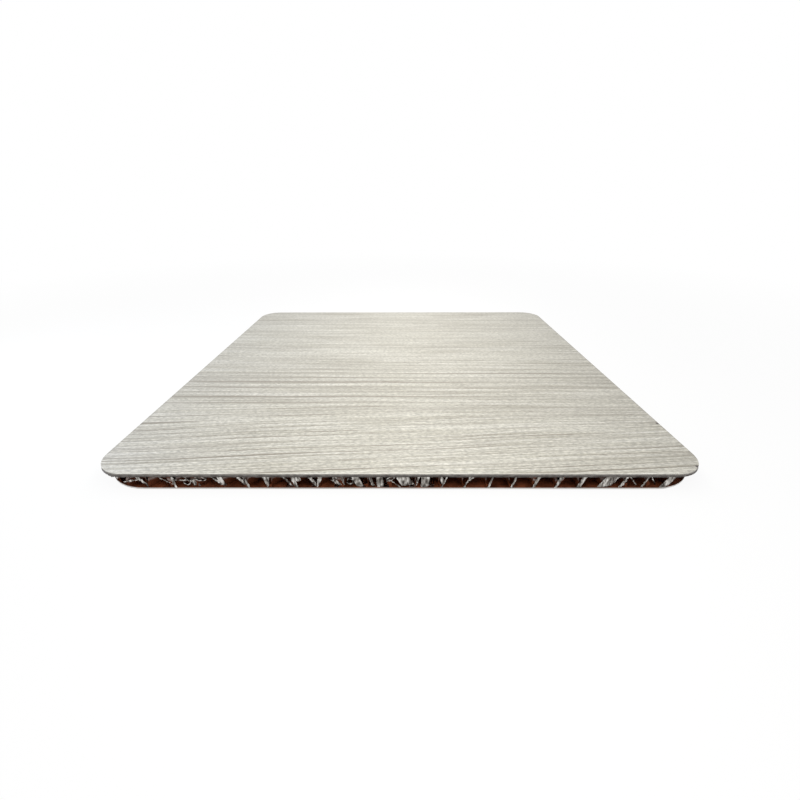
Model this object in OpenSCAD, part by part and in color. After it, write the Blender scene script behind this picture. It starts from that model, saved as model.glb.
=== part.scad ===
// Aluminium honeycomb panel with a woodgrain decor face and open sawn edges.
// A core of corrugated foil ribbons is glued between two aluminium sheets.
// Millimetres. The origin is on the underside, in the middle of the panel.
// X runs left to right, Y from the front edge to the back edge and Z up.

/* [Panel] */
// Width of the panel, left to right
panel_w = 200; // [120:1:300]
// Depth of the panel, front to back
panel_d = 200; // [120:1:300]
// Radius of the rounded corners of the face
corner_r = 11.5; // [4:0.5:30]
// Radius of the corners below the face sheet, which were eased further after sawing
lower_corner_r = 17.5; // [4:0.5:30]

/* [Layers] */
// Thickness of the decor film on the face
film_t = 0.2; // [0.1:0.05:0.5]
// Thickness of the aluminium face sheet
face_t = 0.8; // [0.5:0.1:1.5]
// Thickness of each adhesive film
glue_t = 0.1; // [0.05:0.01:0.3]
// Height of the honeycomb core
core_h = 4.3; // [3:0.1:20]
// Thickness of the aluminium back sheet
back_t = 0.5; // [0.3:0.1:1.5]

/* [Honeycomb core] */
// Number of foil ribbons across the panel, two to a cell; a wider panel has the same core pulled wider
ribbon_count = 53; // [20:1:55]
// Width of each cell as a share of the cell on its left, because the core was pulled open unevenly
cell_ratio = 0.995; // [0.99:0.001:0.999]
// Length of the flats along which two ribbons are bonded
flat_l = 5.5; // [3:0.1:8]
// Distance from the end of one flat to the start of the next, along the ribbon's run
slant_run = 4.5; // [2:0.1:6]
// Thickness of the ribbon foil
foil_t = 0.08; // [0.05:0.01:0.2]
// Distance that the saw cuts on the left and right sides lie inside the outermost bond lines
side_cut = 1.2; // [0.5:0.1:2.5]
// Distance from the front edge to the middle of the first flat, on the panel's centre line
first_flat = 0.2; // [-2:0.1:4]
// How far the rows of flats run back for each millimetre to the right, because the panel was sawn askew
row_skew = 0.033; // [0:0.001:0.05]

/* [Torn foil at the cuts] */
// Width of a narrow strip of foil torn loose by the saw
strip_w = 0.8; // [0.4:0.1:2]
// Reach of the widest torn flag, out from its wall
flag_reach = 5; // [3:0.1:6]
// How far the top of a torn strip leans away from its wall
strip_lean = 1.7; // [0.2:0.1:2.5]
// Length of wall along which a torn strip still hangs on
strip_root = 1.2; // [0.4:0.1:2.5]
// Angle by which torn foil is pushed in behind the cut
push_in = 20; // [0:1:40]
// Choice of the random tears
tear_seed = 88; // [1:1:200]

/* [Hidden] */
// Round corners are drawn with this many steps to a full turn
$fn = 96;

// Heights of the undersides of the layers
back_glue_z = back_t;
core_z = back_glue_z + glue_t;
face_glue_z = core_z + core_h;
face_z = face_glue_z + glue_t;
film_z = face_z + face_t;

// Bond lines, along which the ribbons are glued to each other: how their spacing shrinks from one to the
// next, and the spacing at the left side
bond_ratio = sqrt(cell_ratio);
first_gap = (panel_w + 2 * side_cut) * (1 - bond_ratio) / (1 - pow(bond_ratio, ribbon_count));
// Step along a ribbon from one flat to the next
flat_step = flat_l + slant_run;
// Number of flats on a ribbon, with one spare beyond each edge and room for the skew
flat_count = ceil((panel_d + row_skew * panel_w) / flat_step) + 4;

// Place of a bond line, counted from the left
function bond_x(j) = -panel_w / 2 - side_cut + first_gap * (1 - pow(bond_ratio, j)) / (1 - bond_ratio);

// Middle of a flat on bond line j
function flat_y(j, k) = -panel_d / 2 + first_flat + row_skew * bond_x(j) + k * flat_step;

// Bond line that ribbon i lies on at its flat k: the one on its left or the one on its right, in turn
function bond_of(i, k) = i + (i + k + 1) % 2;

// Shift of a fold's inner and outer corner that keeps the foil equally thick through the fold
function fold_shift(i) =
    foil_t / 2 * tan(atan2(bond_x(i + 1) - bond_x(i) - foil_t, slant_run) / 2);

// One flat of ribbon i as two points on its left side or its right side, from front to back
function flat_points(i, k, right_side) =
    let (j = bond_of(i, k))
    let (on_left = j == i)
    let (x = bond_x(j) + (on_left ? 0 : -foil_t) + (right_side ? foil_t : 0))
    let (half = flat_l / 2 + (on_left == right_side ? -1 : 1) * fold_shift(i))
    [[x, flat_y(j, k) - half], [x, flat_y(j, k) + half]];

function ribbon_side(i, right_side) =
    [for (k = [-2 : flat_count - 2]) each flat_points(i, k, right_side)];

function reversed(list) = [for (n = [len(list) - 1 : -1 : 0]) list[n]];

// Place of the left face of ribbon i where it is sawn off, at the front (-1) or at the back (1)
function end_x(i, end) =
    lookup(end * panel_d / 2, [for (point = ribbon_side(i, false)) [point[1], point[0]]]);

// Side of ribbon i to which its sawn end is free: away from the bond line that is nearer there
function free_side(i, end) =
    end_x(i, end) - bond_x(i) < bond_x(i + 1) - foil_t - end_x(i, end) ? 1 : -1;

// The saw tore the walls outwards from the middle, and not where the corners are rounded
function is_torn(i, end) =
    free_side(i, end) * end_x(i, end) > 0
    && abs(end_x(i, end)) + tear_reach(i, end) < panel_w / 2 - lower_corner_r;

// Reach of a tear: mostly narrow strips with a few wide flags, short of the next ribbon
function tear_reach(i, end) =
    let (chance = rands(0, 1, 1, tear_seed * ribbon_count * 2 + i * 2 + end)[0])
    let (least = strip_lean + strip_w / 2)
    let (room = abs(end_x(i + free_side(i, end), end) - end_x(i, end)) - 3 * foil_t)
    min(least + (flag_reach - least) * pow(chance, 4), room);

function ribbon_name(i) = str("core_ribbon_", i < 9 ? "0" : "", i + 1);

// Outline of the panel, sawn through all its layers at once
module panel_outline(radius) {
    square([panel_w - 2 * radius, panel_d], center = true);
    square([panel_w, panel_d - 2 * radius], center = true);
    for (side_x = [-1, 1], side_y = [-1, 1])
        translate([side_x * (panel_w / 2 - radius), side_y * (panel_d / 2 - radius)])
            circle(radius);
}

module layer(z, thickness, radius) {
    translate([0, 0, z])
        linear_extrude(thickness)
            panel_outline(radius);
}

module decor_film() {
    color("#cfcbbf") layer(film_z, film_t, corner_r);
}

module face_sheet() {
    color("#8d8a86") layer(face_z, face_t, corner_r);
}

module face_glue() {
    color("#4a2413") layer(face_glue_z, glue_t, lower_corner_r);
}

// A corrugated foil ribbon, standing on edge and sawn off at the panel's outline
module ribbon(i) {
    translate([0, 0, core_z])
        linear_extrude(core_h)
            intersection() {
                polygon(concat(ribbon_side(i, true), reversed(ribbon_side(i, false))));
                panel_outline(lower_corner_r);
            }
}

// Foil torn loose at the sawn end of a ribbon: it hangs on by its foot and leans outwards
module torn_strip(i, end) {
    reach = tear_reach(i, end);
    side = free_side(i, end);
    translate([end_x(i, end) + (side > 0 ? 0 : foil_t), end * panel_d / 2, core_z])
        mirror([side > 0 ? 0 : 1, 0, 0])
            mirror([0, end > 0 ? 1 : 0, 0])
                translate([foil_t * sin(push_in), 0, 0])
                    rotate([0, 0, push_in])
                        translate([0, foil_t, 0])
                            rotate([90, 0, 0])
                                linear_extrude(foil_t)
                                    polygon([
                                        [0, 0],
                                        [strip_w, 0],
                                        [reach, core_h],
                                        [min(strip_lean, reach - strip_w / 2), core_h],
                                        [0, strip_root]
                                    ]);
}

module core_ribbon(i) {
    color("#b3b0ab") {
        ribbon(i);
        for (end = [-1, 1])
            if (is_torn(i, end)) torn_strip(i, end);
    }
}

module back_glue() {
    color("#4a2413") layer(back_glue_z, glue_t, lower_corner_r);
}

module back_sheet() {
    color("#b4b3b0") layer(0, back_t, lower_corner_r);
}

decor_film();
face_sheet();
face_glue();
for (i = [0 : ribbon_count - 1])
    core_ribbon(i);
back_glue();
back_sheet();
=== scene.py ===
import bpy
import math
import random
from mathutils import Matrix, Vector


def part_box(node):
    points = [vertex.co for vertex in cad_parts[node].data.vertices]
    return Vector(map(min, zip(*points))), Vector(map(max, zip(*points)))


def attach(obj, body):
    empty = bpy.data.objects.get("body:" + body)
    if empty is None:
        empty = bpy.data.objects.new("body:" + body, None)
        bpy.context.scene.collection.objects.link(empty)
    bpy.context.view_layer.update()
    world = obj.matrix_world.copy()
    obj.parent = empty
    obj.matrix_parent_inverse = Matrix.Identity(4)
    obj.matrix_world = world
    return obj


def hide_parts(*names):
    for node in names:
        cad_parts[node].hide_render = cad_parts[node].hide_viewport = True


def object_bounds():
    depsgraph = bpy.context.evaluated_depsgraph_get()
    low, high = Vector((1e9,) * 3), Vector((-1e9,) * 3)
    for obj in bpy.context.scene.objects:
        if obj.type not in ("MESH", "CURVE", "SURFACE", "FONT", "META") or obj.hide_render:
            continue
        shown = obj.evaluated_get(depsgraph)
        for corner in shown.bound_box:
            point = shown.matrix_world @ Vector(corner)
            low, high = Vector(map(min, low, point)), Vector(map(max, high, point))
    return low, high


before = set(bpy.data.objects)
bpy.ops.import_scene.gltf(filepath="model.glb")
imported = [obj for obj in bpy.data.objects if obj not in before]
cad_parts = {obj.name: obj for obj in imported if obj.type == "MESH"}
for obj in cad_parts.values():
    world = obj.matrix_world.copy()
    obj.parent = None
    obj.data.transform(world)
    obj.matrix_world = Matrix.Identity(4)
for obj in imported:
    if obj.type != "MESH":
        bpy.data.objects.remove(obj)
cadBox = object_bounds()
mm = 0.001  # the frame is in metres, the sizes below are in millimetres
mergeMm = 0.001  # points closer together than this are one
onPlaneMm = 0.01  # points nearer to a plane than this lie on it
print("frame loaded:", len(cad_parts), "nodes")


# Colours and shader nodes. The stops of a ramp are pairs of a pattern's value and a grey or a hex colour.
# A colour Mix takes its colours at sockets 6 and 7 and gives the result at output 2.

def srgb(hexColour):
    values = [int(hexColour[i:i + 2], 16) / 255 for i in (1, 3, 5)]
    return [v / 12.92 if v <= 0.04045 else ((v + 0.055) / 1.055) ** 2.4 for v in values] + [1.0]


def perMm(*lumpSizes):
    return [1 / (size * mm) for size in lumpSizes]  # pattern scale for lumps of these sizes along X, Y, Z


def addNode(tree, kind, settings=None, links=None):
    node = tree.nodes.new("ShaderNode" + kind)
    for name, value in (settings or {}).items():
        if name == "stops":
            while len(node.color_ramp.elements) < len(value):
                node.color_ramp.elements.new(1.0)
            for element, (position, shade) in zip(node.color_ramp.elements, value):
                element.position = position
                element.color = srgb(shade) if isinstance(shade, str) else (shade, shade, shade, 1)
        elif isinstance(name, int) or name in node.inputs:
            node.inputs[name].default_value = srgb(value) if isinstance(value, str) else value
        else:
            setattr(node, name, value)
    for name, source in (links or {}).items():
        if isinstance(source, bpy.types.Node):
            source = next(socket for socket in source.outputs if socket.enabled)
        tree.links.new(source, node.inputs[name])
    return node


def startMaterial(name):
    material = bpy.data.materials.new(name)
    material.use_nodes = True
    tree = material.node_tree
    tree.nodes.clear()
    shader = addNode(tree, "BsdfPrincipled")
    addNode(tree, "OutputMaterial", None, {"Surface": shader})
    place = addNode(tree, "TexCoord").outputs["Object"]
    return material, tree, shader, place


# Printed woodgrain decor film, embossed with a fine fibre and rolled on satin. The eye gets cream and grey
# streaks along the panel's width, long waving darker lines, short brown pores and a soft sheen.
# Real fibres are too fine to show, so they are drawn coarser.

woodgrain = {
    "line": "#7b7468", "pore": "#64584b",
    "waveMm": (70, 40, 50), "waveHeightMm": 2.6,
    "slope": -0.075, "slopeFromMm": -45, "slopeFullMm": -75,
    "ringMm": (900, 5.4, 50), "ringWarp": 2.0, "ringZoneMm": (-60, -50, -14, -4),
    "ringRamp": [(0.0, 0.8), (0.25, 0.4), (0.55, 0.0)],
    # the front and back edges get a painted highlight, the sides painted shade
    "cutEdgeHighlight": "#f4f2e9", "sideEdgeShade": "#5f5a4f", "rimMm": (0.65, 0.35), "rimShare": 0.2,
    "nick": "#453c3b", "nicksMm": ((99.4, -67.7, 0.75), (97.0, -96.0, 1.0)),  # X, Y and radius of each
    "embossMm": 0.05, "bump": 0.5, "roughness": 0.42,
}

# The noise's own lattice is turned away from the grain in the finest patterns, where it would show
latticeTurn = (0.6, 0.4, 0.5)

# Each pattern has the size of its lumps and the ramp that turns its noise into a colour or a grey. The fibre
# is embossed, so it doesn't follow the waves of the print.
woodgrainPatterns = {
    "streak": {"lumpMm": (45, 0.6, 50), "detail": 3, "roughness": 0.6, "turn": latticeTurn,
               "ramp": [(0.25, "#b1ad9d"), (0.75, "#e9e7df")]},
    "band": {"lumpMm": (170, 9, 50), "detail": 2, "ramp": [(0.3, 0.93), (0.7, 1.0)]},
    "fibre": {"lumpMm": (1.5, 0.6, 50), "detail": 2, "roughness": 0.6, "turn": latticeTurn, "waved": False,
              "ramp": [(0.3, 0.54), (0.7, 1.0)]},
    "line": {"lumpMm": (900, 1.5, 50), "detail": 2, "shift": (3, 7, 0),
             "ramp": [(0.34, 0.9), (0.41, 0.35), (0.48, 0.0)]},
    "lineBreak": {"lumpMm": (90, 8, 50), "detail": 1, "ramp": [(0.35, 0.4), (0.65, 1.0)]},
    "ringBreak": {"lumpMm": (140, 4, 50), "detail": 1, "ramp": [(0.35, 0.2), (0.65, 1.0)]},
    "tick": {"lumpMm": (70, 0.7, 50), "detail": 1, "shift": (5, 2, 0),
             "ramp": [(0.3, 0.85), (0.38, 0.33), (0.45, 0.0)]},
    "pore": {"lumpMm": (22, 0.6, 50), "detail": 1, "ramp": [(0.63, 0.0), (0.71, 1.0)]},
    "poreField": {"lumpMm": (60, 8, 50), "detail": 1, "ramp": [(0.5, 0.0), (0.64, 0.6)]},
}


def makeWoodgrain():
    film = woodgrain
    material, tree, shader, place = startMaterial("woodgrainDecorFilm")
    # the print waves a little across the grain, and near the front edge the grain climbs to the right
    waveAt = addNode(tree, "Mapping", {"Scale": perMm(*film["waveMm"])}, {"Vector": place})
    wave = addNode(tree, "TexNoise", {"Scale": 1, "Detail": 1}, {"Vector": waveAt})
    lift = addNode(tree, "Math", {"operation": "MULTIPLY", 1: film["waveHeightMm"] * mm}, {0: wave})
    axes = addNode(tree, "SeparateXYZ", None, {"Vector": place})
    slope = addNode(tree, "MapRange", {
        "interpolation_type": "SMOOTHSTEP", "From Min": film["slopeFromMm"] * mm,
        "From Max": film["slopeFullMm"] * mm, "To Min": 0, "To Max": film["slope"]},
        {"Value": axes.outputs["Y"]})
    climb = addNode(tree, "Math", {"operation": "MULTIPLY_ADD"}, {0: slope, 1: axes.outputs["X"], 2: lift})
    shift = addNode(tree, "CombineXYZ", None, {"Y": climb})
    waved = addNode(tree, "VectorMath", {"operation": "ADD"}, {0: place, 1: shift})

    noises = {}
    tones = {}
    for name, pattern in woodgrainPatterns.items():
        source = waved if pattern.get("waved", True) else place
        at = addNode(tree, "Mapping", {
            "Scale": perMm(*pattern["lumpMm"]), "Location": pattern.get("shift", (0, 0, 0)),
            "Rotation": pattern.get("turn", (0, 0, 0))}, {"Vector": source})
        noises[name] = addNode(tree, "TexNoise", {
            "Scale": 1, "Detail": pattern["detail"], "Roughness": pattern.get("roughness", 0.5)},
            {"Vector": at})
        tones[name] = addNode(tree, "ValToRGB", {"stops": pattern["ramp"]}, {"Fac": noises[name]})

    colour = tones["streak"]
    for name in ("band", "fibre"):
        colour = addNode(tree, "Mix", {"data_type": "RGBA", "blend_type": "MULTIPLY", 0: 1.0},
                         {6: colour, 7: tones[name]})
    lineAmount = addNode(tree, "Math", {"operation": "MULTIPLY"}, {0: tones["line"], 1: tones["lineBreak"]})
    # a run of even growth rings in front of the middle
    waveRepeat = math.pi / 10  # a wave of scale 1 repeats after this
    ringScale = [scale * factor for scale, factor in zip(perMm(*film["ringMm"]), (1, waveRepeat, 1))]
    ringAt = addNode(tree, "Mapping", {"Scale": ringScale}, {"Vector": waved})
    rings = addNode(tree, "TexWave", {"bands_direction": "Y", "Scale": 1, "Distortion": film["ringWarp"],
                                      "Detail": 2}, {"Vector": ringAt})
    ringMask = addNode(tree, "ValToRGB", {"stops": film["ringRamp"]}, {"Fac": rings.outputs["Fac"]})
    zone = [y * mm for y in film["ringZoneMm"]]
    rise = addNode(tree, "MapRange", {"From Min": zone[0], "From Max": zone[1]}, {"Value": axes.outputs["Y"]})
    fall = addNode(tree, "MapRange", {"From Min": zone[2], "From Max": zone[3], "To Min": 1, "To Max": 0},
                   {"Value": axes.outputs["Y"]})
    inZone = addNode(tree, "Math", {"operation": "MINIMUM"}, {0: rise, 1: fall})
    ringAmount = addNode(tree, "Math", {"operation": "MULTIPLY"}, {0: ringMask, 1: tones["ringBreak"]})
    ringAmount = addNode(tree, "Math", {"operation": "MULTIPLY"}, {0: ringAmount, 1: inZone})
    lineAmount = addNode(tree, "Math", {"operation": "MAXIMUM"}, {0: lineAmount, 1: ringAmount})
    lineAmount = addNode(tree, "Math", {"operation": "MAXIMUM"}, {0: lineAmount, 1: tones["tick"]})
    colour = addNode(tree, "Mix", {"data_type": "RGBA", 7: film["line"]}, {0: lineAmount, 6: colour})
    poreAmount = addNode(tree, "Math", {"operation": "MULTIPLY"}, {0: tones["pore"], 1: tones["poreField"]})
    colour = addNode(tree, "Mix", {"data_type": "RGBA", 7: film["pore"]}, {0: poreAmount, 6: colour})
    # a painted highlight along the front and back edges, and painted shade along the sides
    for axis, half, tint in (("X", cadBox[1][0], film["sideEdgeShade"]), ("Y", cadBox[1][1], film["cutEdgeHighlight"])):
        off = addNode(tree, "Math", {"operation": "ABSOLUTE"}, {0: axes.outputs[axis]})
        rim = addNode(tree, "MapRange", {
            "From Min": half - film["rimMm"][0] * mm, "From Max": half - film["rimMm"][1] * mm,
            "To Max": film["rimShare"]}, {"Value": off})
        colour = addNode(tree, "Mix", {"data_type": "RGBA", 7: tint}, {0: rim, 6: colour})
    # small dark nicks at the right edge
    for x, y, radius in film["nicksMm"]:
        away = addNode(tree, "VectorMath", {"operation": "DISTANCE", 1: (x * mm, y * mm, cadBox[1][2])},
                       {0: place})
        nick = addNode(tree, "MapRange", {"From Min": radius / 2 * mm, "From Max": radius * mm,
                                          "To Min": 1, "To Max": 0}, {"Value": away.outputs["Value"]})
        colour = addNode(tree, "Mix", {"data_type": "RGBA", 7: film["nick"]}, {0: nick, 6: colour})
    tree.links.new(colour.outputs[2], shader.inputs["Base Color"])

    bump = addNode(tree, "Bump", {"Strength": film["bump"], "Distance": film["embossMm"] * mm},
                   {"Height": noises["fibre"]})
    tree.links.new(bump.outputs[0], shader.inputs["Normal"])
    shader.inputs["Roughness"].default_value = film["roughness"]
    return material


# Sawn sheet aluminium: dull grey metal, scored by the saw and smeared with dust. The scores are drawn
# coarser than real ones, which are too fine to show.

sawnEdge = {"ramp": [(0.38, "#5a5552"), (0.62, "#8e8a86")],  # from score to metal
            "scoreMm": (5, 5, 0.14), "scoreDepthMm": 0.05, "smearMm": (2.5, 2.5, 0.9), "smearShare": 0.5,
            "bump": 0.5, "roughness": 0.5}


def makeSawnEdge():
    edge = sawnEdge
    material, tree, shader, place = startMaterial("sawnAluminium")
    scoreAt = addNode(tree, "Mapping", {"Scale": perMm(*edge["scoreMm"])}, {"Vector": place})
    scores = addNode(tree, "TexNoise", {"Scale": 1, "Detail": 3, "Roughness": 0.6}, {"Vector": scoreAt})
    smearAt = addNode(tree, "Mapping", {"Scale": perMm(*edge["smearMm"])}, {"Vector": place})
    smears = addNode(tree, "TexNoise", {"Scale": 1, "Detail": 2}, {"Vector": smearAt})
    both = addNode(tree, "Mix", {"data_type": "RGBA", 0: edge["smearShare"]}, {6: scores, 7: smears})
    colour = addNode(tree, "ValToRGB", {"stops": edge["ramp"]}, {"Fac": both})
    tree.links.new(colour.outputs[0], shader.inputs["Base Color"])
    bump = addNode(tree, "Bump", {"Strength": edge["bump"], "Distance": edge["scoreDepthMm"] * mm},
                   {"Height": scores})
    tree.links.new(bump.outputs[0], shader.inputs["Normal"])
    shader.inputs["Metallic"].default_value = 1.0
    shader.inputs["Roughness"].default_value = edge["roughness"]
    return material


# Rolled aluminium foil: bright and nearly a mirror where it is bare, with small dents that break the
# reflections. Its grain is drawn coarser than real so that it shows. Matt brown glue covers it at the top and
# the bottom.

coreFoil = {"ramp": [(0.35, "#aeaaa5"), (0.65, "#cfccc8")],  # from dull to bright metal
            "grainMm": (0.8, 0.8, 0.8), "dentMm": (1.6, 1.6, 1.6), "dentDepthMm": 0.2, "bump": 0.6,
            "roughness": 0.25,
            "glue": "#5e3422", "glueRoughness": 0.8, "glueSpecular": 0.0, "glueWaveMm": 1.2}

# Heights between which the glue thins out: on its way up from the bottom, then on its way down from the top
foilGlueMm = {
    "glueCoatedFoil": ((2.6, 4.2), (4.0, 2.7)),  # walls of the core, coated nearly all over
    "rolledAluminiumFoil": ((0.8, 1.5), (4.7, 4.0)),  # outermost ribbons, bare between the films
    "shadeFoldFoil": ((-2, -1), (10, 9)),  # bare folds that stand in for the flags' shade, left without glue so that they mirror the dark
}


def makeCoreFoil(name):
    foil = coreFoil
    material, tree, shader, place = startMaterial(name)
    dentAt = addNode(tree, "Mapping", {"Scale": perMm(*foil["dentMm"])}, {"Vector": place})
    dents = addNode(tree, "TexNoise", {"Scale": 1, "Detail": 3, "Roughness": 0.6}, {"Vector": dentAt})
    grainAt = addNode(tree, "Mapping", {"Scale": perMm(*foil["grainMm"])}, {"Vector": place})
    grains = addNode(tree, "TexNoise", {"Scale": 1, "Detail": 2}, {"Vector": grainAt})
    colour = addNode(tree, "ValToRGB", {"stops": foil["ramp"]}, {"Fac": grains})
    height = addNode(tree, "SeparateXYZ", None, {"Vector": place}).outputs["Z"]
    waved = addNode(tree, "Math", {"operation": "MULTIPLY_ADD", 1: foil["glueWaveMm"] * mm},
                    {0: dents, 2: height})
    half = foil["glueWaveMm"] / 2  # the noise lies around one half
    up, down = ([(z + half) * mm for z in zone] for zone in foilGlueMm[name])
    below = addNode(tree, "MapRange", {"From Min": up[0], "From Max": up[1], "To Min": 1, "To Max": 0},
                    {"Value": waved})
    above = addNode(tree, "MapRange", {"From Min": down[1], "From Max": down[0]}, {"Value": waved})
    glued = addNode(tree, "Math", {"operation": "MAXIMUM"}, {0: below, 1: above})
    colour = addNode(tree, "Mix", {"data_type": "RGBA", 7: foil["glue"]}, {0: glued, 6: colour})
    tree.links.new(colour.outputs[2], shader.inputs["Base Color"])
    bare = addNode(tree, "Math", {"operation": "SUBTRACT", 0: 1.0}, {1: glued})
    tree.links.new(bare.outputs[0], shader.inputs["Metallic"])
    bump = addNode(tree, "Bump", {"Strength": foil["bump"], "Distance": foil["dentDepthMm"] * mm},
                   {"Height": dents})
    tree.links.new(bump.outputs[0], shader.inputs["Normal"])
    gloss = addNode(tree, "MapRange", {"To Min": foil["roughness"], "To Max": foil["glueRoughness"]},
                    {"Value": glued})
    tree.links.new(gloss.outputs[0], shader.inputs["Roughness"])
    shader.inputs["Specular IOR Level"].default_value = foil["glueSpecular"]
    return material


# Torn aluminium foil: stretched and scuffed by the saw, so it is duller than the rolled foil. Its grain is
# drawn coarser than real so that it shows. Its dark and bright streaks are partly scuffs and partly painted
# shade and highlights.

tornFoil = {"ramp": [(0.36, "#4a4541"), (0.5, "#928e88"), (0.66, "#d8d5d0")],  # from dark to bright: scuffs, and painted shade and highlights
            "grainMm": (0.9, 0.9, 2.2), "creaseMm": (1.0, 1.0, 1.0), "creaseDepthMm": 0.25, "bump": 0.7,
            "roughness": 0.4}


def makeTornFoil():
    torn = tornFoil
    material, tree, shader, place = startMaterial("tornAluminiumFoil")
    grainAt = addNode(tree, "Mapping", {"Scale": perMm(*torn["grainMm"])}, {"Vector": place})
    grains = addNode(tree, "TexNoise", {"Scale": 1, "Detail": 2, "Roughness": 0.5}, {"Vector": grainAt})
    colour = addNode(tree, "ValToRGB", {"stops": torn["ramp"]}, {"Fac": grains})
    tree.links.new(colour.outputs[0], shader.inputs["Base Color"])
    creaseAt = addNode(tree, "Mapping", {"Scale": perMm(*torn["creaseMm"])}, {"Vector": place})
    creases = addNode(tree, "TexNoise", {"Scale": 1, "Detail": 2}, {"Vector": creaseAt})
    bump = addNode(tree, "Bump", {"Strength": torn["bump"], "Distance": torn["creaseDepthMm"] * mm},
                   {"Height": creases})
    tree.links.new(bump.outputs[0], shader.inputs["Normal"])
    shader.inputs["Metallic"].default_value = 1.0
    shader.inputs["Roughness"].default_value = torn["roughness"]
    return material


# Cured brown adhesive: a thin smooth film, a little glossy, darker where it pooled.

brownGlue = {"ramp": [(0.35, "#452213"), (0.65, "#82492f")],  # from pooled to thin
             "patchMm": (4, 4, 4), "rippleMm": 0.1, "bump": 0.4, "roughness": 0.4}


def makeBrownGlue():
    glue = brownGlue
    material, tree, shader, place = startMaterial("curedBrownAdhesive")
    patchAt = addNode(tree, "Mapping", {"Scale": perMm(*glue["patchMm"])}, {"Vector": place})
    patches = addNode(tree, "TexNoise", {"Scale": 1, "Detail": 3, "Roughness": 0.6}, {"Vector": patchAt})
    colour = addNode(tree, "ValToRGB", {"stops": glue["ramp"]}, {"Fac": patches})
    tree.links.new(colour.outputs[0], shader.inputs["Base Color"])
    bump = addNode(tree, "Bump", {"Strength": glue["bump"], "Distance": glue["rippleMm"] * mm},
                   {"Height": patches})
    tree.links.new(bump.outputs[0], shader.inputs["Normal"])
    shader.inputs["Roughness"].default_value = glue["roughness"]
    return material


# Mill-finish aluminium sheet: rolling leaves fine straight lines and a soft sheen. The lines are drawn
# coarser than real ones, which are too fine to show.

millSheet = {"ramp": [(0.35, "#b2b1ae"), (0.65, "#dad9d6")],  # from line to metal
             "rollMm": (70, 0.5, 70), "rollDepthMm": 0.02, "bump": 0.3, "roughness": 0.36}


def makeMillSheet():
    sheet = millSheet
    material, tree, shader, place = startMaterial("millFinishAluminium")
    rollAt = addNode(tree, "Mapping", {"Scale": perMm(*sheet["rollMm"])}, {"Vector": place})
    rolls = addNode(tree, "TexNoise", {"Scale": 1, "Detail": 3, "Roughness": 0.6}, {"Vector": rollAt})
    colour = addNode(tree, "ValToRGB", {"stops": sheet["ramp"]}, {"Fac": rolls})
    tree.links.new(colour.outputs[0], shader.inputs["Base Color"])
    bump = addNode(tree, "Bump", {"Strength": sheet["bump"], "Distance": sheet["rollDepthMm"] * mm},
                   {"Height": rolls})
    tree.links.new(bump.outputs[0], shader.inputs["Normal"])
    shader.inputs["Metallic"].default_value = 1.0
    shader.inputs["Roughness"].default_value = sheet["roughness"]
    return material


# One finish for each of the record's slots, and three more: torn foil with painted shade and highlights,
# bare foil, and bare foil for the folds that stand in for shade
finishes = {
    "decor_film": makeWoodgrain(),
    "face_sheet": makeSawnEdge(),
    "core_foil": makeCoreFoil("glueCoatedFoil"),
    "adhesive": makeBrownGlue(),
    "back_sheet": makeMillSheet(),
}
tornFinish = makeTornFoil()
sideFinish = makeCoreFoil("rolledAluminiumFoil")
shadeFoldFinish = makeCoreFoil("shadeFoldFoil")


def dress(piece, material):
    piece.data.materials.clear()
    piece.data.materials.append(material)


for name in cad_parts:
    slot = name
    if name.startswith("core_ribbon"):
        slot = "core_foil"
    elif name.endswith("glue"):
        slot = "adhesive"
    dress(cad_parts[name], finishes[slot])
print("finishes set:", ", ".join(finishes))


# Core ribbons. The saw tore the foil back from the front cut, and dented and frayed both ends of each ribbon.

ribbonWear = {"seed": 3, "tornBackMm": (0.6, 2.2), "tornFootMm": 0.1,
              "slicesMm": (0.35, 0.8, 1.5, 2.4), "sliceReachMm": 12, "rowsMm": (1.6, 2.7, 3.8),
              "zoneMm": 3.4, "fade": 2, "dentMm": 1.1, "dentDepthMm": 0.4, "frayMm": 0.5, "frayDepthMm": 0.5,
              "scuffMm": 0.6, "smoothDeg": 35}

ribbonNames = [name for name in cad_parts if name.startswith("core_ribbon")]
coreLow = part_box(ribbonNames[0])[0].z
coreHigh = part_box(ribbonNames[0])[1].z
coreTall = (coreHigh - coreLow) / mm
frontY = cadBox[0][1]
backY = cadBox[1][1]

cloudTextures = {}


def cloudsOf(sizeMm):
    if sizeMm not in cloudTextures:
        cloudTextures[sizeMm] = bpy.data.textures.new("clouds%g" % sizeMm, "CLOUDS")
        cloudTextures[sizeMm].noise_scale = sizeMm * mm
    return cloudTextures[sizeMm]


def copyNode(node, name):
    bpy.ops.object.select_all(action="DESELECT")
    piece = bpy.data.objects.new(name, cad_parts[node].data.copy())
    bpy.context.scene.collection.objects.link(piece)
    piece.select_set(True)
    bpy.context.view_layer.objects.active = piece
    bpy.ops.object.mode_set(mode="EDIT")
    bpy.ops.mesh.select_all(action="SELECT")
    bpy.ops.mesh.remove_doubles(threshold=mergeMm * mm)
    return piece  # in edit mode, selected all over


def selectFaces(piece, wanted):
    bpy.ops.object.mode_set(mode="EDIT")
    bpy.ops.mesh.select_all(action="DESELECT")
    bpy.ops.object.mode_set(mode="OBJECT")
    for face in piece.data.polygons:
        face.select = wanted(face.center)
    bpy.ops.object.mode_set(mode="EDIT")


def addDents(piece, sizeMm, depthMm, direction, group=""):
    dents = piece.modifiers.new("dents", "DISPLACE")
    dents.texture = cloudsOf(sizeMm)
    dents.texture_coords = "LOCAL"
    dents.direction = direction
    dents.strength = depthMm * mm
    dents.vertex_group = group
    bpy.ops.object.modifier_apply(modifier=dents.name)


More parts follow.
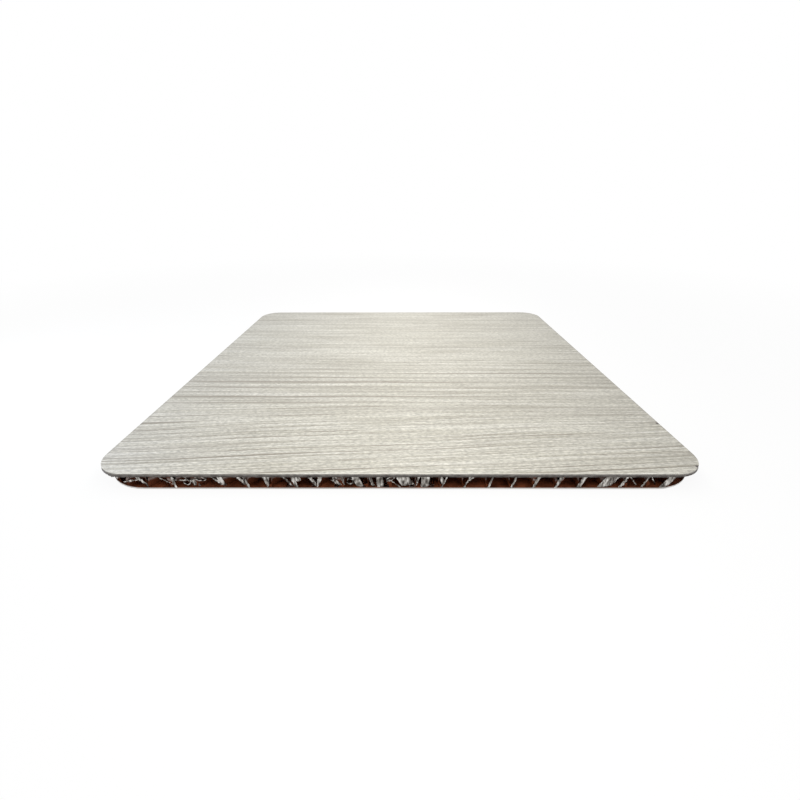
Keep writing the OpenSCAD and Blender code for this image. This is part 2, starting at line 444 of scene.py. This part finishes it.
def wearRibbon(name):
    wear = ribbonWear
    piece = copyNode(name, "worn_" + name)
    # along the front cut the wall is torn away towards the face, and its foil hangs on as flags
    tornBack = random.uniform(*wear["tornBackMm"]) / coreTall
    bpy.ops.mesh.bisect(plane_co=(0, frontY + wear["tornFootMm"] * mm, coreLow), plane_no=(0, 1, -tornBack),
                        use_fill=True, clear_inner=True)
    # slices and rows near the ends give the dents points to move
    for endY, inward in ((frontY, 1), (backY, -1)):
        for inside in wear["slicesMm"]:
            selectFaces(piece, lambda centre: abs(centre.y - endY) < wear["sliceReachMm"] * mm)
            bpy.ops.mesh.bisect(plane_co=(0, endY + inward * inside * mm, 0), plane_no=(0, 1, 0))
        for row in wear["rowsMm"]:
            selectFaces(piece, lambda centre: abs(centre.y - endY) < wear["slicesMm"][-1] * mm)
            bpy.ops.mesh.bisect(plane_co=(0, 0, row * mm), plane_no=(0, 0, 1))
    bpy.ops.object.mode_set(mode="OBJECT")
    group = piece.vertex_groups.new(name="sawn")
    for vertex in piece.data.vertices:
        inside = min(vertex.co.y - frontY, backY - vertex.co.y) / (wear["zoneMm"] * mm)
        if inside < 1:
            group.add([vertex.index], (1 - max(inside, 0)) ** wear["fade"], "REPLACE")
    addDents(piece, wear["dentMm"], wear["dentDepthMm"], "X", "sawn")
    addDents(piece, wear["frayMm"], wear["frayDepthMm"], "Y", "sawn")
    bpy.ops.object.shade_smooth_by_angle(angle=math.radians(wear["smoothDeg"]))
    outermost = name in ribbonNames[:2] + ribbonNames[-2:]
    dress(piece, sideFinish if outermost else finishes["core_foil"])
    piece.data.materials.append(tornFinish)
    for face in piece.data.polygons:
        if backY - face.center.y < wear["scuffMm"] * mm:
            face.material_index = 1
    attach(piece, "root")
    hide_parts(name)


random.seed(ribbonWear["seed"])
for name in ribbonNames:
    wearRibbon(name)
print("ribbons worn:", len(ribbonNames))


# Torn foil along the front cut: flags that stand between the sheets, thin strands, and curls of foil.
# Each is placed by its foot and its tip, as X along the front edge and height Z in millimetres. It is turned
# about the upright, rolled across its width and curled along its length, in degrees. A tapered one has that
# share of its width at the foot, and set says how far behind the cut it stands.

frontFlags = [
    {"foot": (-88.2, 2.2), "tip": (-85.0, 3.0), "wide": 0.6, "set": 0.9},
    {"foot": (-80.9, 0.6), "tip": (-83.6, 4.9), "wide": 0.7, "turn": 20},
    {"foot": (-72.9, 1.6), "tip": (-77.4, 4.9), "wide": 0.35},
    {"foot": (-72.3, 0.6), "tip": (-73.3, 4.9), "wide": 1.4, "turn": -25, "roll": 70},
    {"foot": (-66.0, 2.2), "tip": (-69.2, 4.9), "wide": 0.4},
    {"foot": (-68.9, 3.1), "tip": (-71.2, 3.5), "wide": 0.5},
    {"foot": (-64.9, 0.6), "tip": (-66.4, 3.6), "wide": 1.3, "turn": 20, "roll": 90},
    {"foot": (-57.6, 2.4), "tip": (-60.4, 4.9), "wide": 0.5},
    {"foot": (-56.7, 0.6), "tip": (-57.9, 4.9), "wide": 1.9, "turn": 15, "roll": 120, "curl": 40},
    {"foot": (-48.9, 0.6), "tip": (-51.6, 4.9), "wide": 0.8, "turn": 10},
    {"foot": (-48.5, 0.6), "tip": (-50.2, 4.9), "wide": 1.2, "turn": -20, "roll": 60},
    {"foot": (-42.4, 0.6), "tip": (-42.7, 4.9), "wide": 2.8, "turn": -15, "tapered": 0.12},
    {"foot": (-34.2, 0.6), "tip": (-37.1, 4.9), "wide": 0.6},
    {"foot": (-33.4, 0.8), "tip": (-34.6, 4.9), "wide": 1.7, "turn": -20, "roll": 80},
    {"foot": (-32.0, 2.6), "tip": (-32.8, 4.9), "wide": 1.5, "turn": 25, "curl": 60},
    {"foot": (-26.4, 0.6), "tip": (-28.6, 4.9), "wide": 0.8, "turn": 30},
    {"foot": (-26.4, 0.6), "tip": (-25.2, 4.9), "wide": 1.6, "turn": -10, "tapered": 0.2},
    {"foot": (-18.3, 0.6), "tip": (-21.3, 3.9), "wide": 0.9, "turn": 15},
    {"foot": (-20.4, 3.4), "tip": (-20.8, 4.9), "wide": 1.3, "turn": 10, "curl": 120},
    {"foot": (-17.9, 1.8), "tip": (-18.4, 4.9), "wide": 0.8, "turn": -30, "roll": 50},
    {"foot": (-12.4, 0.6), "tip": (-14.2, 4.9), "wide": 1.9, "turn": 15, "roll": 40, "crumple": 0.5},
    {"foot": (-8.2, 0.6), "tip": (-9.6, 4.9), "wide": 1.0, "turn": -20, "curl": 70},
    {"foot": (-6.0, 0.6), "tip": (-6.3, 4.9), "wide": 2.1, "turn": 10, "roll": 30, "crumple": 0.3},
    {"foot": (0.4, 0.6), "tip": (-4.0, 4.2), "wide": 0.35},
    {"foot": (2.9, 1.2), "tip": (0.9, 4.8), "wide": 3.5, "turn": 12, "roll": 20, "crumple": 0.3},
    {"foot": (5.2, 0.6), "tip": (6.3, 4.9), "wide": 0.7, "turn": -30},
    {"foot": (8.3, 0.7), "tip": (8.5, 4.8), "wide": 2.6, "turn": 8, "roll": 30, "crumple": 0.3},
    {"foot": (13.6, 0.6), "tip": (15.5, 4.9), "wide": 0.5, "turn": 10},
    {"foot": (14.1, 2.0), "tip": (13.5, 4.9), "wide": 0.9, "turn": -25},
    {"foot": (20.9, 0.6), "tip": (22.9, 4.9), "wide": 0.5, "turn": 15},
    {"foot": (22.2, 3.2), "tip": (23.7, 4.5), "wide": 0.4},
    {"foot": (28.7, 0.6), "tip": (30.2, 4.9), "wide": 0.7, "turn": 20},
    {"foot": (36.0, 0.6), "tip": (37.8, 4.9), "wide": 0.8, "turn": 20},
    {"foot": (43.2, 0.6), "tip": (45.0, 4.9), "wide": 1.2, "turn": 18},
    {"foot": (50.4, 0.6), "tip": (52.4, 4.9), "wide": 1.4, "turn": 20, "roll": 40},
    {"foot": (57.9, 0.9), "tip": (59.8, 4.6), "wide": 1.6, "turn": 15, "roll": 50},
    {"foot": (66.0, 1.1), "tip": (68.9, 4.9), "wide": 4.2, "turn": 10, "roll": 20, "crumple": 0.3},
    {"foot": (71.0, 0.8), "tip": (73.5, 4.5), "wide": 1.2, "turn": 15, "roll": 40},
    {"foot": (77.0, 0.6), "tip": (73.6, 4.9), "wide": 0.3, "set": 1.4},
    {"foot": (77.9, 0.9), "tip": (80.2, 4.9), "wide": 0.6, "turn": 10},
    {"foot": (83.4, 0.6), "tip": (80.6, 4.9), "wide": 0.3, "set": 1.6},
    {"foot": (84.9, 0.6), "tip": (88.3, 4.9), "wide": 2.3, "turn": 10, "roll": 20, "set": 0.5,
     "crumple": 0.5},
]

frontCurls = [
    {"at": (-68.2, 2.7), "radius": 1.1, "wide": 0.7, "squash": 0.9, "lean": 10, "open": 60},
    {"at": (-63.6, 4.0), "radius": 1.7, "wide": 0.8, "squash": 0.42, "lean": 8, "open": 40},
    {"at": (-15.7, 3.1), "radius": 1.0, "wide": 0.7, "squash": 1.0, "lean": 0, "open": 30},
    {"at": (-2.9, 4.0), "radius": 1.5, "wide": 0.6, "squash": 0.4, "lean": -25, "open": 50},
]

# Foil folded in behind the cut, put where the flags shade the cells: it leans back and mirrors the dark
# underside of the face sheet, and so stands in for that shade
frontShadeFolds = [
    {"atMm": -35.8, "wide": 1.4}, {"atMm": -28.0, "wide": 1.3}, {"atMm": -20.3, "wide": 1.2},
    {"atMm": -11.4, "wide": 2.2}, {"atMm": -4.4, "wide": 2.4}, {"atMm": 4.2, "wide": 2.2},
    {"atMm": 10.6, "wide": 1.5},
]

# A shred of the face sheet hangs from its left front corner
cornerShred = {"foot": (-92.2, 3.9), "tip": (-92.6, 5.0), "wide": 1.8, "tapered": 0.3, "set": 1.1}

foilTears = {"thickMm": 0.08, "stepMm": 0.25, "setMm": 0.25, "crumpleMm": 0.8, "crumpleDepthMm": 0.8,
             "raggedMm": 0.5, "raggedDepthMm": 0.5, "raggedTopMm": 0.65, "raggedTopDepthMm": 0.3,
             "foldBackDeg": 75, "foldTopMm": 1.9, "foldCrumple": 0.1, "curlSides": 28, "curlThickMm": 0.24,
             "smoothDeg": 40}


def finishTornFoil(piece, name, finish, crumple=1.0, thickMm=foilTears["thickMm"]):
    tears = foilTears
    piece.name = name
    addDents(piece, tears["crumpleMm"], tears["crumpleDepthMm"] * crumple, "Y")
    addDents(piece, tears["raggedMm"], tears["raggedDepthMm"], "X")
    addDents(piece, tears["raggedTopMm"], tears["raggedTopDepthMm"], "Z")
    wall = piece.modifiers.new("wall", "SOLIDIFY")
    wall.thickness = thickMm * mm
    wall.offset = 0
    bpy.ops.object.modifier_apply(modifier=wall.name)
    bpy.ops.object.shade_smooth_by_angle(angle=math.radians(tears["smoothDeg"]))
    dress(piece, finish)
    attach(piece, "root")


def bendPiece(piece, axis, degrees):
    bend = piece.modifiers.new("bend", "SIMPLE_DEFORM")
    bend.deform_method = "BEND"
    bend.deform_axis = axis
    bend.angle = math.radians(degrees)
    bpy.ops.object.modifier_apply(modifier=bend.name)


def makeFlag(name, flag, finish):
    tears = foilTears
    (footX, footZ), (tipX, tipZ) = flag["foot"], flag["tip"]
    taper = flag.get("tapered", 1)  # width at the foot as a share of the width at the tip
    wide = flag["wide"] * (1 + taper) / 2
    lean = math.atan2(tipX - footX, tipZ - footZ)
    back = math.radians(flag.get("back", 0))
    long = (math.hypot(tipX - footX, tipZ - footZ) + wide * abs(math.tan(lean))) / math.cos(back)
    inside = flag.get("set", tears["setMm"]) + (tipZ - footZ) / 2 * math.tan(back)
    bpy.ops.object.select_all(action="DESELECT")
    bpy.ops.mesh.primitive_grid_add(x_subdivisions=max(2, round(wide / tears["stepMm"])),
                                    y_subdivisions=round(long / tears["stepMm"]), size=1,
                                    rotation=(math.pi / 2, 0, 0))
    piece = bpy.context.object
    piece.scale = (wide * mm, long * mm, 1)
    bpy.ops.object.transform_apply(location=False, rotation=True, scale=True)
    if "tapered" in flag:
        narrow = piece.modifiers.new("narrow", "SIMPLE_DEFORM")
        narrow.deform_method = "TAPER"
        narrow.deform_axis = "Z"
        narrow.factor = 2 * (1 - taper) / (1 + taper)
        bpy.ops.object.modifier_apply(modifier=narrow.name)
    if "roll" in flag:
        bendPiece(piece, "Z", flag["roll"])
    if "curl" in flag:
        bendPiece(piece, "X", flag["curl"])
    piece.rotation_euler = (-back, lean, math.radians(flag.get("turn", 0)))
    piece.location = ((footX + tipX) / 2 * mm, frontY + inside * mm, (footZ + tipZ) / 2 * mm)
    bpy.ops.object.transform_apply(location=True, rotation=True, scale=False)
    # the leaning sheet is trimmed level at its foot and its tip
    bpy.ops.object.mode_set(mode="EDIT")
    for height, side in ((footZ, "clear_inner"), (tipZ, "clear_outer")):
        bpy.ops.mesh.select_all(action="SELECT")
        bpy.ops.mesh.bisect(plane_co=(0, 0, height * mm), plane_no=(0, 0, 1), **{side: True})
    bpy.ops.object.mode_set(mode="OBJECT")
    finishTornFoil(piece, name, finish, flag.get("crumple", 1.0))
    return piece


def makeCurl(name, curl):
    bpy.ops.object.select_all(action="DESELECT")
    bpy.ops.mesh.primitive_cylinder_add(vertices=foilTears["curlSides"], radius=curl["radius"] * mm,
                                        depth=curl["wide"] * mm, end_fill_type="NOTHING")
    piece = bpy.context.object
    gap = math.radians(curl["open"]) / 2
    selectFaces(piece, lambda centre: abs(math.atan2(centre.y, -centre.x)) < gap)
    bpy.ops.mesh.delete(type="FACE")
    bpy.ops.object.mode_set(mode="OBJECT")
    piece.scale = (1, curl["squash"], 1)
    piece.rotation_euler = (math.pi / 2, math.radians(curl["lean"]), 0)
    piece.location = (curl["at"][0] * mm, frontY + curl["wide"] / 2 * mm, curl["at"][1] * mm)
    bpy.ops.object.transform_apply(location=True, rotation=True, scale=True)
    finishTornFoil(piece, name, tornFinish, thickMm=foilTears["curlThickMm"])


for number, flag in enumerate(frontFlags, 1):
    makeFlag("tornFlag%02d" % number, flag, tornFinish)
for number, fold in enumerate(frontShadeFolds, 1):
    folded = {"foot": (fold["atMm"], coreLow / mm), "tip": (fold["atMm"], foilTears["foldTopMm"]),
              "wide": fold["wide"], "back": foilTears["foldBackDeg"], "crumple": foilTears["foldCrumple"]}
    makeFlag("shadeFoldedFoil%02d" % number, folded, shadeFoldFinish)
for number, curl in enumerate(frontCurls, 1):
    makeCurl("foilCurl%02d" % number, curl)
makeFlag("cornerShred", cornerShred, finishes["face_sheet"])
print("front cut torn:", len(frontFlags), "flags,", len(frontShadeFolds), "folds,", len(frontCurls), "curls")


# Small flags at the walls that the left and right cuts go through, made at the front and turned to their side

sideTears = {"seed": 5, "apartMm": 0.5, "tallMm": (1.8, 4.3), "leanMm": (-1.6, 1.6), "wideMm": (0.4, 1.1),
             "turnDeg": (-30, 30), "rollDeg": (10, 80)}


def cutEnds(name, sideX):
    points = [vertex.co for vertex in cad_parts[name].data.vertices]
    ends = []
    for y in sorted(point.y for point in points if abs(point.x - sideX) < onPlaneMm * mm):
        if not ends or y - ends[-1] > sideTears["apartMm"] * mm:
            ends.append(y)
    return ends


def tearSide(letter, name, sideX, quarter):
    side = sideTears
    ends = cutEnds(name, sideX)
    for number, y in enumerate(ends, 1):
        foot = quarter * y / mm
        tall = random.uniform(*side["tallMm"])
        lean = random.uniform(*side["leanMm"])
        flag = {"foot": (foot, coreLow / mm), "tip": (foot + lean, coreLow / mm + tall),
                "wide": random.uniform(*side["wideMm"]), "turn": random.uniform(*side["turnDeg"]),
                "roll": random.uniform(*side["rollDeg"])}
        piece = makeFlag("sideFlag%s%02d" % (letter, number), flag, tornFinish)
        piece.rotation_euler = (0, 0, math.radians(90 * quarter))
        piece.location = (quarter * (abs(sideX) - abs(frontY)), 0, 0)
        bpy.ops.object.transform_apply(location=True, rotation=True, scale=False)
    print("side cut torn:", letter, len(ends), "flags")


random.seed(sideTears["seed"])
tearSide("L", ribbonNames[0], cadBox[0][0], -1)
tearSide("R", ribbonNames[-1], cadBox[1][0], 1)


# Saw burr: a ragged lip of metal that hangs from the lower edge of the face sheet, all round.

sawBurr = {"hangMm": 0.16, "thickMm": 0.14, "longestMm": 1.05, "cuts": 15, "rounds": 2,
           "tearMm": 0.9, "tearDepthMm": 0.26, "waveMm": 0.54, "waveDepthMm": 0.15, "smoothDeg": 40}


def makeSawBurr():
    burr = sawBurr
    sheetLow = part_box("face_sheet")[0].z
    piece = copyNode("face_sheet", "sawBurr")
    bpy.ops.mesh.select_mode(type="FACE")
    selectFaces(piece, lambda centre: centre.z > sheetLow + onPlaneMm * mm)
    bpy.ops.mesh.delete(type="FACE")  # the underside is left
    bpy.ops.mesh.select_all(action="SELECT")
    bpy.ops.mesh.region_to_loop()
    bpy.ops.mesh.extrude_edges_move(TRANSFORM_OT_translate={"value": (0, 0, -burr["hangMm"] * mm)})
    bpy.ops.mesh.select_mode(type="FACE")
    selectFaces(piece, lambda centre: centre.z > sheetLow - onPlaneMm * mm)
    bpy.ops.mesh.delete(type="FACE")  # only the lip is left
    # the long straight edges are cut up, twice over, so that the tears have points to move
    for cutRound in range(burr["rounds"]):
        bpy.ops.mesh.select_mode(type="EDGE")
        bpy.ops.mesh.select_all(action="DESELECT")
        bpy.ops.object.mode_set(mode="OBJECT")
        for edge in piece.data.edges:
            start, end = (piece.data.vertices[i].co for i in edge.vertices)
            edge.select = (start - end).length > burr["longestMm"] * mm
        bpy.ops.object.mode_set(mode="EDIT")
        bpy.ops.mesh.subdivide(number_cuts=burr["cuts"])
    bpy.ops.mesh.select_mode(type="FACE")
    bpy.ops.object.mode_set(mode="OBJECT")
    group = piece.vertex_groups.new(name="lip")
    lip = [vertex.index for vertex in piece.data.vertices if vertex.co.z < sheetLow - onPlaneMm * mm]
    group.add(lip, 1.0, "REPLACE")
    addDents(piece, burr["tearMm"], burr["tearDepthMm"], "Z", "lip")
    addDents(piece, burr["waveMm"], burr["waveDepthMm"], "Y", "lip")
    wall = piece.modifiers.new("wall", "SOLIDIFY")
    wall.thickness = burr["thickMm"] * mm
    bpy.ops.object.modifier_apply(modifier=wall.name)
    bpy.ops.object.shade_smooth_by_angle(angle=math.radians(burr["smoothDeg"]))
    dress(piece, finishes["face_sheet"])
    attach(piece, "root")


makeSawBurr()
print("saw burr made")


# Stage, light and camera

stage = {"floorMm": 4000, "floor": "#f2f2f2", "glow": 0.92, "nearMm": 120, "farMm": 500, "worldLight": 0.56}


# Rays that show the background itself: straight from the camera, or by way of metal or glass
def backgroundRays(tree):
    rays = addNode(tree, "LightPath").outputs
    seen = addNode(tree, "Math", {"operation": "MAXIMUM"},
                   {0: rays["Is Camera Ray"], 1: rays["Is Glossy Ray"]})
    return addNode(tree, "Math", {"operation": "MAXIMUM"}, {0: seen, 1: rays["Is Transmission Ray"]})


def makeFloor():
    bpy.ops.object.select_all(action="DESELECT")
    bpy.ops.mesh.primitive_plane_add(size=stage["floorMm"] * mm, location=(0, 0, 0))
    floor = bpy.context.object
    floor.name = "floor"
    material, tree, shader, place = startMaterial("paleFloor")
    shader.inputs["Base Color"].default_value = srgb(stage["floor"])
    shader.inputs["Roughness"].default_value = 1.0
    shader.inputs["Specular IOR Level"].default_value = 0.0
    seen = backgroundRays(tree)
    # further out the floor fades to plain white
    away = addNode(tree, "VectorMath", {"operation": "LENGTH"}, {0: place})
    glow = addNode(tree, "MapRange", {
        "From Min": stage["nearMm"] * mm, "From Max": stage["farMm"] * mm,
        "To Min": stage["glow"], "To Max": 1.0}, {"Value": away.outputs["Value"]})
    share = addNode(tree, "Math", {"operation": "MULTIPLY"}, {0: seen, 1: glow})
    white = addNode(tree, "Emission", {"Strength": 1.0})
    mixed = addNode(tree, "MixShader", None, {0: share, 1: shader, 2: white})
    addNode(tree, "OutputMaterial", {"is_active_output": True}, {"Surface": mixed})
    dress(floor, material)


def makeWorld():
    world = bpy.data.worlds.new("studio")
    bpy.context.scene.world = world
    world.use_nodes = True
    tree = world.node_tree
    tree.nodes.clear()
    strength = addNode(tree, "MapRange", {"To Min": stage["worldLight"], "To Max": 1.0},
                       {"Value": backgroundRays(tree)})
    light = addNode(tree, "Background", {"Color": "#ffffff"}, {"Strength": strength})
    addNode(tree, "OutputWorld", None, {"Surface": light})


lamps = [
    {"name": "overhead", "atMm": (8, 4, 138), "aimMm": (4, 4, 0), "sizeMm": (420, 80), "watts": 0.38,
     "tint": "#fffcf6", "glint": False},
    {"name": "leftSky", "atMm": (-230, -15, 120), "aimMm": (-80, -15, 0), "sizeMm": (150, 150), "watts": 0.21,
     "tint": "#e0ebff", "glint": True},
]


def makeLamp(lamp):
    bpy.ops.object.light_add(type="AREA", location=[v * mm for v in lamp["atMm"]])
    piece = bpy.context.object
    piece.name = lamp["name"]
    piece.data.shape = "RECTANGLE"
    piece.data.size = lamp["sizeMm"][0] * mm
    piece.data.size_y = lamp["sizeMm"][1] * mm
    piece.data.energy = lamp["watts"]
    piece.data.color = srgb(lamp["tint"])[:3]
    piece.visible_camera = False
    piece.visible_glossy = lamp["glint"]
    aim = Vector(lamp["aimMm"]) - Vector(lamp["atMm"])
    piece.rotation_euler = aim.to_track_quat("-Z", "Y").to_euler()


# Lens and place come from the face's outline: a square panel seen from close by, 26 degrees from above
view = {"atMm": (0.65, -207.6, 85.57), "turnDeg": (63.594, 0.082, 0.141), "focalPx": 415.84, "framePx": 800,
        "sensorMm": 36, "clipMm": 5}


def makeCamera():
    bpy.ops.object.camera_add(location=[v * mm for v in view["atMm"]],
                              rotation=[math.radians(v) for v in view["turnDeg"]])
    camera = bpy.context.object
    camera.data.sensor_width = view["sensorMm"]
    camera.data.lens = view["sensorMm"] * view["focalPx"] / view["framePx"]
    camera.data.clip_start = view["clipMm"] * mm
    bpy.context.scene.camera = camera


makeFloor()
makeWorld()
for lamp in lamps:
    makeLamp(lamp)
makeCamera()
bpy.context.scene.view_settings.view_transform = "Standard"
print("stage, light and camera set")
